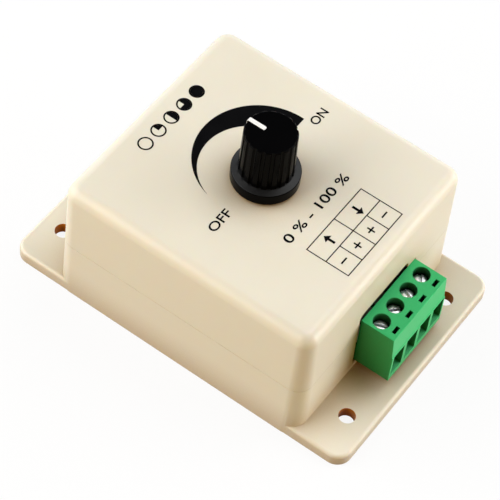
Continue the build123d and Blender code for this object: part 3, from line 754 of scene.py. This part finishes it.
def sign(x, y, plus):
    """A minus sign, or a plus sign with its upright in two halves."""
    bars = [bar(x, y, SIGN_W, STROKE)]
    if plus:
        off = (STROKE + HALF_UPRIGHT) / 2
        bars += [bar(x, y + side * off, STROKE, HALF_UPRIGHT) for side in (-1, 1)]
    return gather(*bars)


POLE_SIGNS = {-6.98: False, -1.98: True, 3.0: True, 8.0: False}
marks = [arrow(-4.5, ARROW_Y, 0), arrow(5.5, ARROW_Y, pi)]
marks += [sign(x, SIGN_Y, plus) for x, plus in POLE_SIGNS.items()]
marks = gather(*marks)
print("arrow and sign faces:", len(marks.faces))

# %% [markdown]
# ## Print: words and numbers
#
# OFF and ON stand at the ends of the crescent, and the range from 0 % to 100 % below it. A text
# curve gives the outlines, made a touch bolder, because ink spreads as it is pressed on. Each word
# becomes a mesh that is stretched to fill its own rectangle. All marks together then make one
# piece.

# %% Words and numbers
INK_SPREAD = 0.012  # a share of the font's size
WORDS = {
    "OFF": ((-18.04, 0.08), (-11.67, 2.29)),
    "ON": ((18.33, -0.29), (23.1, 1.88)),
    "0 % - 100 %": ((-10.6, -13.75), (11.4, -11.46)),
}


def lettering(words, low, high):
    """Generic words as flat ink that fills a rectangle."""
    curve = bpy.data.curves.new("lettering", "FONT")
    curve.body, curve.extrude, curve.offset = words, 0.5, INK_SPREAD
    holder = put_in_scene("lettering", curve)
    seen = holder.evaluated_get(bpy.context.evaluated_depsgraph_get())
    outline = bpy.data.meshes.new_from_object(seen)
    shape = bmesh.new()
    shape.from_mesh(outline)
    bpy.data.objects.remove(holder)
    bpy.data.curves.remove(curve)
    bpy.data.meshes.remove(outline)
    bmesh.ops.remove_doubles(shape, verts=shape.verts, dist=1e-5)
    corner = Vector([min(v.co[i] for v in shape.verts) for i in range(3)])
    size = Vector([max(v.co[i] for v in shape.verts) for i in range(3)]) - corner
    bmesh.ops.translate(shape, vec=-corner, verts=shape.verts)
    stretch = ((high[0] - low[0]) / size.x, (high[1] - low[1]) / size.y, INK_T / size.z)
    bmesh.ops.scale(shape, vec=stretch, verts=shape.verts)
    bmesh.ops.translate(shape, vec=(*low, CASE_H), verts=shape.verts)
    return shape


words = gather(*[lettering(text, low, high) for text, (low, high) in WORDS.items()])
make_piece(gather(crescent, discs, grid, marks, words), "cover_print", "case", pad_ink)

# %% [markdown]
# ## Knob: the fluted outline
#
# The knob is one moulding: a wide skirt that hides the nut, and a tapered grip with eighteen
# flutes. The flutes could be cut out of a cone one by one. It is cleaner to draw one rib and one
# flute as two arcs, and to repeat the pair round the axis, because the outline then closes on
# itself.

# %% Fluted outline
RIBS, FOOT_R, TOP_R, FLUTE_CENTRE_R = 18, 6.05, 5.75, 6.2
FLUTE_HALF, FLUTE_SWEEP, OUTLINE_MERGE = 4.95, 143.4, 0.02
PITCH_ANGLE = 360 / RIBS
KNOB_TOP, GRIP_FOOT = node_box("knob")[1].z, 37.3
axis_spot = Vector((0, KNOB_Y, GRIP_FOOT))

grip = bmesh.new()
start = grip.verts.new(axis_spot + ray_at(FLUTE_HALF, FOOT_R))
rib = bmesh.ops.spin(
    grip,
    geom=[start],
    cent=axis_spot,
    axis=(0, 0, 1),
    angle=radians(PITCH_ANGLE - 2 * FLUTE_HALF),
    steps=5,
)["geom_last"]
bmesh.ops.spin(
    grip,
    geom=verts_of(rib),
    cent=axis_spot + ray_at(PITCH_ANGLE, FLUTE_CENTRE_R),
    axis=(0, 0, 1),
    angle=radians(-FLUTE_SWEEP),
    steps=9,
)
bmesh.ops.spin(
    grip,
    geom=list(grip.verts) + list(grip.edges),
    cent=axis_spot,
    axis=(0, 0, 1),
    angle=2 * pi,
    steps=RIBS,
    use_duplicate=True,
)
bmesh.ops.remove_doubles(grip, verts=grip.verts, dist=OUTLINE_MERGE)
print("grip outline points:", len(grip.verts))

# %% [markdown]
# ## Knob: the grip
#
# The outline is pulled up in steps that draw it in, so the grip tapers. Near the top each step has
# a limit radius. Only the ribs reach that far, so only they get the small rounded rim, and the
# flutes run out through it as they do on the real knob.

# %% Grip
WAIST_Z, RIM_DROP = 43.5, 0.34
RIM = ((0.2, 0.06), (0.09, 0.14), (0.02, 0.25), (0.0, 0.36))  # below the top, in from the ribs


def pull_up(loop, height, limit, shrink):
    """Extrudes a loop of edges to a height, and draws in what stands outside a limit radius."""
    moved = bmesh.ops.extrude_edge_only(grip, edges=loop)["geom"]
    for v in verts_of(moved):
        off = Vector((v.co.x, v.co.y - KNOB_Y, 0)) * shrink
        off *= min(1, limit / off.length)
        v.co = Vector((off.x, off.y + KNOB_Y, height))
    return [part for part in moved if isinstance(part, bmesh.types.BMEdge)]


bmesh.ops.contextual_create(grip, geom=list(grip.edges))
taper = TOP_R / FOOT_R
waist = 1 - (1 - taper) / 2
loop = pull_up(list(grip.edges), WAIST_Z, FOOT_R, waist)
loop = pull_up(loop, KNOB_TOP - RIM_DROP, TOP_R, taper / waist)
for drop, inwards in RIM:
    loop = pull_up(loop, KNOB_TOP - drop, TOP_R - inwards, 1.0)
bmesh.ops.contextual_create(grip, geom=loop)
print("grip faces:", len(grip.faces))

# %% [markdown]
# ## Knob: skirt, bore and finishes
#
# The skirt is round, so it is turned and joined to the grip. The bore has a wide room for the nut
# and a long hole for the shaft. The knob is polished black ABS, apart from the step on top of the
# skirt: it was spark-eroded, so it is a little greyer and shows no sharp reflection.

# %% Skirt, bore and finishes
# Polished black: hardly any colour, thin bright lines on the ribs.
knob_abs = moulded_plastic(
    "Black ABS, gloss moulding",
    shades=("#040405", "#070708"),
    gloss=(0.14, 0.22),
    grain=(0.5, 0.002),
    surface={"IOR": 1.09},
)
# Eroded black: a soft grey sheen in place of reflections.
step_abs = moulded_plastic(
    "Black ABS, eroded step",
    shades=("#080809", "#0B0B0C"),
    gloss=(0.42, 0.52),
    grain=(0.3, 0.004),
    surface={"IOR": 1.42},
)
RECESS_R, SKIRT_R, SKIRT_FOOT = 6.2235, 7.5035, 35.2
skirt_outline = [
    (RECESS_R, SKIRT_FOOT),
    (7.36, SKIRT_FOOT),
    (7.46, 35.24),
    (SKIRT_R, 35.34),
    (SKIRT_R, 37.72),
    (7.46, 37.84),
    (7.36, 37.92),
    (7.2, 37.98),
    (6.5, 38.24),
    (6.0, 38.44),
    (4.5, 38.44),
    (4.5, 37.2),
    (RECESS_R, 37.2),
]
NUT_ROOM, SHAFT_HOLE = (3.8, 34, 37.7), (3.05, 37.7, 48.2)
bore = rod(*NUT_ROOM)[:-1] + rod(*SHAFT_HOLE)[1:]
STEP_Z = (37.8, 38.5)


def on_step(middle, direction):
    """True for a face on the step that runs round the top of the skirt."""
    return direction.z > 0.8 and STEP_Z[0] < middle.z < STEP_Z[1]


knob = combine(grip, lathe_shape(skirt_outline, (0, KNOB_Y), 128), "UNION")
knob = combine(knob, lathe_shape(bore, (0, KNOB_Y), 48), "DIFFERENCE")
knob_piece = make_piece(knob, "knob_moulding", "knob_unit", knob_abs, ["knob"])
finish_faces(knob_piece, step_abs, on_step)

# %% [markdown]
# ## Knob: pointer
#
# The white pointer runs from near the middle of the top to the rim and a little way down it. It has
# to follow the rim's round. So a shell that stands a hair proud of the knob is turned first, and a
# bar with round inner corners then cuts the pointer out of it.

# %% Pointer
# White and satin: the brightest spot on the knob, without a glint of its own.
pointer_white = moulded_plastic(
    "White inlay, satin",
    shades=("#EDEDEA", "#F6F6F4"),
    gloss=(0.35, 0.45),
    grain=(0.3, 0.003),
    surface={"IOR": 1.5},
)
PROUD, POINTER_DOWN = 0.05, 1.3
POINTER_HALF, POINTER_START, POINTER_END, POINTER_CORNER = 0.5, 1.4, 7, 0.36
envelope = [
    (0, KNOB_TOP - POINTER_DOWN),
    (TOP_R + 0.05 + PROUD, KNOB_TOP - POINTER_DOWN),
    (TOP_R + PROUD, KNOB_TOP - RIM_DROP),
    (TOP_R - 0.1 + PROUD, KNOB_TOP - 0.12 + PROUD),
    (TOP_R - RIM_DROP, KNOB_TOP + PROUD),
    (0, KNOB_TOP + PROUD),
]
inlay = box_shape(
    (-POINTER_HALF, KNOB_Y + POINTER_START, KNOB_TOP - 2 * PAST),
    (POINTER_HALF, KNOB_Y + POINTER_END, KNOB_TOP + PAST),
)
inner = [e for e in upright_edges(inlay) if e.verts[0].co.y < KNOB_Y + POINTER_END / 2]
soften(inlay, inner, POINTER_CORNER, 8)
inlay = combine(lathe_shape(envelope, (0, KNOB_Y), 128), inlay, "INTERSECT")
make_piece(inlay, "pointer_inlay", "knob_unit", pointer_white, ["knob_pointer"])

# %% [markdown]
# ## Terminal block: outer form
#
# The green block is moulded nylon with a kinked front that leans back a little above the wire
# mouths. Its side outline is drawn once and extruded along the row of poles, and all its edges get
# a fine round, as a small moulding has. The screws' solids say where the poles are.

# %% Outer form of the block
block_low, block_high = node_box("terminal_housing")
POLE_X = [sum(corner.x for corner in node_box(f"terminal_screw_{k}")) / 2 for k in range(1, 5)]
CLAMP_Y = sum(corner.y for corner in node_box("terminal_screw_1")) / 2
KINK_Z, KINK_STEP, FRONT_LEAN, BLOCK_EDGE = block_low.z + 8.8, 0.25, 0.7, 0.12
MOUTH_TOP = KINK_Z - KINK_STEP
side_outline = [
    (block_high.y, block_low.z),
    (block_low.y, block_low.z),
    (block_low.y, MOUTH_TOP),
    (block_low.y + KINK_STEP, KINK_Z),
    (block_low.y + FRONT_LEAN, block_high.z),
    (block_high.y, block_high.z),
]
block = bmesh.new()
side = block.faces.new([block.verts.new((block_low.x, y, z)) for y, z in side_outline])
run = bmesh.ops.extrude_face_region(block, geom=[side])["geom"]
block_length = block_high.x - block_low.x
bmesh.ops.translate(block, vec=(block_length, 0, 0), verts=verts_of(run))
soften(block, list(block.edges), BLOCK_EDGE, 3)
print("block", round(block_length, 2), "mm long, poles at", [round(x, 2) for x in POLE_X])

# %% [markdown]
# ## Terminal block: pockets
#
# Four pockets serve each pole: the screw's well with a ledge under the head, the clamp's chamber,
# the wire's mouth with a sill that slopes up to the clamp, and a thin slot for a test probe. They
# are gathered into one cutter, because one cut is quicker and cleaner than many. Behind the case's
# wall the block is lower, so that the slit above it looks into the dark.

# %% Pockets of the block
WELL_R, LEDGE_Z, THROAT_R, THROAT_Z = 1.9, 16.4, 1.55, 15.0
POCKET_HALF, CHAMBER_FRONT, CHAMBER_Z = 2, -37.52, (6.0, 15.6)
SILL_Z, SILL_RISE = 6.8, 0.9
PROBE_HALF, PROBE_Y, PROBE_BITE = 1, (1.5, 2.4), 0.5
WALL_Y, REAR_TOP = -31.75, 10.5


def screw_well(x):
    """A well with a ledge for the screw's head and a rounded mouth."""
    top = block_high.z
    outline = rod(THROAT_R, THROAT_Z, LEDGE_Z)[:-1] + [
        (WELL_R, LEDGE_Z),
        (WELL_R, top - 0.12),
        (WELL_R + 0.05, top - 0.04),
        (WELL_R + 0.14, top),
        (WELL_R + 0.14, top + PAST),
        (0, top + PAST),
    ]
    return lathe_shape(outline, (x, CLAMP_Y), 64)


def wire_mouth(x):
    """A mouth in the front whose sill slopes up towards the clamp."""
    front, back = block_low.y - PAST, CHAMBER_FRONT + PAST
    shape = box_shape((x - POCKET_HALF, front, SILL_Z), (x + POCKET_HALF, back, MOUTH_TOP))
    for v in shape.verts:
        if v.co.z < SILL_Z + NEAR:
            share = (v.co.y - block_low.y) / (CHAMBER_FRONT - block_low.y)
            v.co.z = SILL_Z + SILL_RISE * share
    return shape


def pocket(x, half, y, z):
    """A straight pocket of a given half width, between two depths and two heights."""
    return box_shape((x - half, y[0], z[0]), (x + half, y[1], z[1]))


above, behind = block_high.z + PAST, block_high.y + PAST
probe_y = [block_low.y + y for y in PROBE_Y]
cutters = []
for x in POLE_X:
    cutters.append(screw_well(x))
    cutters.append(pocket(x, POCKET_HALF, (CHAMBER_FRONT, behind), CHAMBER_Z))
    cutters.append(wire_mouth(x))
    cutters.append(pocket(x, PROBE_HALF, probe_y, (MOUTH_TOP - PROBE_BITE, above)))
rear = ((block_low.x - PAST, WALL_Y, REAR_TOP), (block_high.x + PAST, behind, above))
cutters.append(box_shape(*rear))
block = combine(block, gather(*cutters), "DIFFERENCE")
print("block faces:", len(block.faces))

# %% [markdown]
# ## Terminal block: green nylon
#
# Nylon is matt and takes a strong dye. Its sides stand close to the case's wall and to the flange,
# so they get a painted deep green shade towards those. The top face lies open to the light, but the
# case's wall beside it would darken it too, so it gets the same nylon without the painted shade.

# %% Green nylon
# Matt and strongly dyed: an even green with hardly a highlight.
NYLON = {
    "shades": ("#34C172", "#3BCB7A"),
    "gloss": (0.38, 0.5),
    "grain": (0.3, 0.006),
    "surface": {"IOR": 1.35},
}
# painted shade: the block's sides turn near-black green within 14 mm of the wall and flange
shaded_block_nylon = moulded_plastic("Green nylon, painted shade near walls", **NYLON, corner=("#011405", 14.0))
top_nylon = moulded_plastic("Green nylon, open top face", **NYLON)


def on_block_top(middle, direction):
    """True for a face on the open top of the block."""
    return middle.z > block_high.z - 0.01


block_piece = make_piece(
    block, "terminal_block", "case", shaded_block_nylon, ["terminal_housing"]
)
finish_faces(block_piece, top_nylon, on_block_top)

# %% [markdown]
# ## Metals
#
# Plated and turned metals differ in colour and in how fine their marks are. The uneven finish
# serves them all: its slow pattern gives the cloudy look of plating, and its fine one the marks of
# the tool. Real tool marks are a few hundredths of a millimetre apart, so here too they are drawn
# coarser.


# %% Metals
def worked_metal(name, shades, gloss, marks):
    """Bare or plated metal with a cloudy sheen and tool marks of a size and a depth."""
    return uneven_finish(name, {"Metallic": 1.0}, shades, gloss, 2.5, 4.0, marks)


# Bright and nearly white: the studio shows in it as soft patches.
nickel = worked_metal(
    "Nickel plated steel, bright", ("#F6F8FA", "#E6E9EE"), (0.3, 0.42), (0.3, 0.008)
)
# Grey with a bluish cloud: a duller shine.
zinc = worked_metal(
    "Zinc plated steel, clear passivated", ("#C9CBCE", "#B4B8BC"), (0.25, 0.4), (0.3, 0.004)
)
# Yellow, and clean from the lathe: a warm, fairly sharp shine.
brass = worked_metal("Turned brass, plain", ("#D9B66A", "#C8A358"), (0.22, 0.34), (0.25, 0.004))
# Dipped in solder: a warm grey, a little lumpy.
tin = worked_metal("Tinned copper, dipped", ("#D5D3CD", "#C3C1BA"), (0.3, 0.45), (0.4, 0.004))
# Pale grey with fine marks.
aluminium = worked_metal(
    "Turned aluminium, plain", ("#DADBDC", "#C8C9CB"), (0.25, 0.36), (0.2, 0.004)
)
print("metals:", *[metal.name + ";" for metal in (nickel, zinc, brass, tin, aluminium)])

# %% [markdown]
# ## Clamp screws
#
# Each screw has a turned cheese head with a sawn slot, left at its own angle, and a short shank
# that reaches the cage. The head's face is very slightly domed with a rounded rim, as a turned head
# is, so it catches the light in one bright patch and one dark one. It is turned like the real one,
# and a bar then cuts the slot.

# %% Screws in their wells
SLOT_ANGLES, SLOT_W, SLOT_DEPTH, SLOT_REACH = (-71, -43, 67, 36), 0.8, 0.8, 3
HEAD_R, HEAD_H, HEAD_EDGE = 1.6, 1.5, 0.08
SHANK_R, SHANK_TIP_R, SHANK_TIP = 1.25, 0.95, 0.3
DOME = ((HEAD_R, 0.42), (1.57, 0.32), (1.47, 0.22), (1.2, 0.13), (0.7, 0.04), (0, 0))

for k, (x, angle) in enumerate(zip(POLE_X, SLOT_ANGLES), 1):
    screw_low, screw_high = node_box(f"terminal_screw_{k}")
    foot, top = screw_low.z, screw_high.z
    under_head = top - HEAD_H
    outline = [
        (0, foot),
        (SHANK_TIP_R, foot),
        (SHANK_R, foot + SHANK_TIP),
        (SHANK_R, under_head),
        (HEAD_R - HEAD_EDGE, under_head),
        (HEAD_R, under_head + HEAD_EDGE),
    ]
    outline += [(radius, top - drop) for radius, drop in DOME]
    slot = box_shape(
        (-SLOT_REACH, -SLOT_W / 2, top - SLOT_DEPTH), (SLOT_REACH, SLOT_W / 2, top + PAST)
    )
    about = Matrix.Rotation(radians(angle), 3, "Z")
    bmesh.ops.rotate(slot, cent=(0, 0, 0), matrix=about, verts=slot.verts)
    bmesh.ops.translate(slot, vec=(x, CLAMP_Y, 0), verts=slot.verts)
    screw = combine(lathe_shape(outline, (x, CLAMP_Y), 64), slot, "DIFFERENCE")
    make_piece(
        screw,
        f"clamp_screw_turned_{k}",
        f"clamp_screw_{k}",
        nickel,
        [f"terminal_screw_{k}"],
    )

# %% [markdown]
# ## Pieces inside
#
# These pieces keep the meshes of the solids. They show only through the mouths and from below, or
# when the case is opened, so finer meshes would add nothing. Each gets the finish of its real
# material.

# %% Finishes for the pieces inside
# Each row: name; shades, roughness, grain in mm, IOR, size of the drift in mm; solids.
INNER_PLASTICS = (
    # A glassy lacquer over glass cloth: deep green, shiny.
    (
        "Green solder mask on laminate",
        ("#18592F", "#1E6B3A"), (0.25, 0.4), (0.6, 0.006), 1.55, 6.0,
        ["circuit_board"],
    ),
    # Pressed paper and resin: dull brown.
    (
        "Brown paper laminate",
        ("#744826", "#8A5A32"), (0.45, 0.6), (0.3, 0.006), 1.5, 4.0,
        ["pot_track"],
    ),
    # Soft and waxy: a broad highlight along each wire.
    (
        "Red vinyl wire cover",
        ("#9C1F19", "#B3261E"), (0.35, 0.5), (0.4, 0.004), 1.5, 5.0,
        ["pot_wires"],
    ),
    # Slippery and milky: soft white.
    (
        "White acetal, moulded",
        ("#DDD9CE", "#E9E6DD"), (0.35, 0.5), (0.4, 0.004), 1.48, 5.0,
        ["pot_rotor"],
    ),
    # Shrunk tight over the can: a smooth dark gloss.
    (
        "Dark blue shrunk sleeve",
        ("#141B32", "#1B2440"), (0.2, 0.32), (0.6, 0.004), 1.5, 8.0,
        ["capacitor"],
    ),
    # Filled with ground quartz: dull near-black.
    (
        "Black moulded epoxy",
        ("#19191B", "#232326"), (0.5, 0.65), (0.2, 0.008), 1.55, 3.0,
        ["mosfet_body", "timer_chip", "diode", "resistors"],
    ),
    # Bare and fired: a dry tan.
    (
        "Tan fired ceramic",
        ("#9C764C", "#B0885C"), (0.45, 0.6), (0.2, 0.005), 1.6, 2.0,
        ["ceramic_capacitors"],
    ),
)
dressed = {
    zinc: ["case_screws", "board_screws", "pot_washer", "pot_case"]
    + [f"clamp_cage_{k}" for k in range(1, 5)],
    tin: ["terminal_contacts", "pot_lugs", "mosfet_frame", "timer_legs"],
    brass: ["pot_bush", "pot_nut", "pot_wiper"],
    aluminium: ["pot_shaft"],
}
for name, shades, gloss, grain, ior, flow_mm, solids in INNER_PLASTICS:
    dressed[moulded_plastic(name, shades, gloss, grain, {"IOR": ior}, flow_mm)] = solids
for finish, solids in dressed.items():
    for solid in solids:
        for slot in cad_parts[solid].material_slots:
            slot.material = finish
print("inner pieces dressed:", sum(len(solids) for solids in dressed.values()))

# %% [markdown]
# ## Studio: lamps
#
# The photo is a plain product shot with three soft lights: a small one high up, and a large one at
# each side of the picture. Soft lights are wide lamps close to the object. Each is given by where
# it stands, seen from the object, and by how bright it looks from there, because that keeps its
# effect when its size changes.

# %% Lamps
LAMP_DISTANCE, LAMP_AIM = 0.6, Vector((0, 0, 0.02))
SOFTBOXES = {
    # Azimuth from +X and elevation in degrees, width and height in metres, radiance.
    "Softbox above": (-20, 62, 0.32, 0.32, 3.0),
    "Softbox right": (-54, 17, 0.6, 0.36, 3.9),
    "Softbox left": (132, 34, 0.6, 0.5, 3.8),
}
for name, (azimuth, elevation, width, height, radiance) in SOFTBOXES.items():
    lamp = put_in_scene(name, bpy.data.lights.new(name, "AREA"))
    lamp.data.shape, lamp.data.size, lamp.data.size_y = "RECTANGLE", width, height
    lamp.data.energy = radiance * pi * width * height
    level, up = cos(radians(elevation)), Vector((0, 0, sin(radians(elevation))))
    lamp.location = (ray_at(azimuth, level) + up) * LAMP_DISTANCE
    lamp.rotation_euler = (LAMP_AIM - lamp.location).to_track_quat("-Z", "Y").to_euler()
    print(name, "has", round(lamp.data.energy, 2), "watts")

# %% [markdown]
# ## Studio: the room
#
# Round the object the room is pale near the horizon and dark overhead. Towards the front it is
# dimmer and warm, so the edge that faces the viewer is the darkest and warmest one. A picture of a
# real room could light the scene as well. Two smooth steps between three colours do the same here.

# %% Room
FRONT, HORIZON = Vector((-0.87, -0.49, 0.0)), 1.45
ROOM_SIDES, ROOM_FRONT, ROOM_ZENITH = "#F8FCFF", "#C19F53", "#0C0C0D"
FRONT_SPAN, ZENITH_SPAN = (-0.3, 0.6), (0.35, 0.7)

world = bpy.data.worlds.new("Studio")
world.use_nodes = True
bpy.context.scene.world = world
sky = world.node_tree
direction = node(sky, "TexCoord").outputs["Generated"]
along = node(sky, "VectorMath", {0: direction, 1: FRONT}, operation="DOT_PRODUCT")
frontness = along.outputs["Value"]
height = node(sky, "SeparateXYZ", {0: direction}).outputs["Z"]
colour = linear(ROOM_SIDES)
for measure, span, other in (
    (frontness, FRONT_SPAN, ROOM_FRONT),
    (height, ZENITH_SPAN, ROOM_ZENITH),
):
    ramp = {"Value": measure, "From Min": span[0], "From Max": span[1]}
    share = node(sky, "MapRange", ramp, interpolation_type="SMOOTHSTEP").outputs["Result"]
    mix = {"Factor": share, "A": colour, "B": linear(other)}
    colour = node(sky, "Mix", mix, data_type="RGBA").outputs["Result"]
background = sky.nodes["Background"].inputs
sky.links.new(colour, background["Color"])
background["Strength"].default_value = HORIZON
print("room nodes:", len(sky.nodes))

# %% [markdown]
# ## Studio: the floor
#
# The object lies on a white paper sweep. To the viewer, and in reflections, the paper is nearly
# plain white and still takes a soft shadow, so most of what they see is a glow and the rest is lit
# paper. The light that it throws back at the object is dim and warm, because in such a shot little
# light comes from below. Light Path tells the two apart.

# %% Floor
FLOOR_R, FLOOR_DROP = 6.0, 0.02 * MM
PAPER, PAPER_BOUNCE, GLOW_SHARE = "#F4F4F4", "#7E6622", 0.9

floor_shape = bmesh.new()
bmesh.ops.create_circle(floor_shape, cap_ends=True, segments=64, radius=FLOOR_R)
floor_mesh = bpy.data.meshes.new("floor")
floor_shape.to_mesh(floor_mesh)
floor_shape.free()
floor = put_in_scene("floor", floor_mesh)
floor.location.z = -FLOOR_DROP

# Smooth white paper: no gloss, no edge in view.
paper = bpy.data.materials.new("White paper sweep")
paper.use_nodes = True
sheet = paper.node_tree
sheet.nodes.remove(sheet.nodes["Principled BSDF"])
path = node(sheet, "LightPath").outputs
seen = path["Is Camera Ray"]
for other in ("Is Glossy Ray", "Is Transmission Ray"):
    seen = node(sheet, "Math", {0: seen, 1: path[other]}, operation="MAXIMUM").outputs[0]
white = node(sheet, "BsdfDiffuse", {"Color": linear(PAPER)}).outputs[0]
glow = node(sheet, "Emission", {"Color": linear("#FFFFFF"), "Strength": 1.0}).outputs[0]
shown = node(sheet, "MixShader", {0: GLOW_SHARE, 1: white, 2: glow}).outputs[0]
bounce = node(sheet, "BsdfDiffuse", {"Color": linear(PAPER_BOUNCE)}).outputs[0]
mixed = node(sheet, "MixShader", {0: seen, 1: bounce, 2: shown}).outputs[0]
sheet.links.new(mixed, sheet.nodes["Material Output"].inputs["Surface"])
floor_mesh.materials.append(paper)
bpy.context.scene.view_settings.view_transform = "Standard"
print("floor radius:", FLOOR_R, "m, nodes:", len(sheet.nodes))
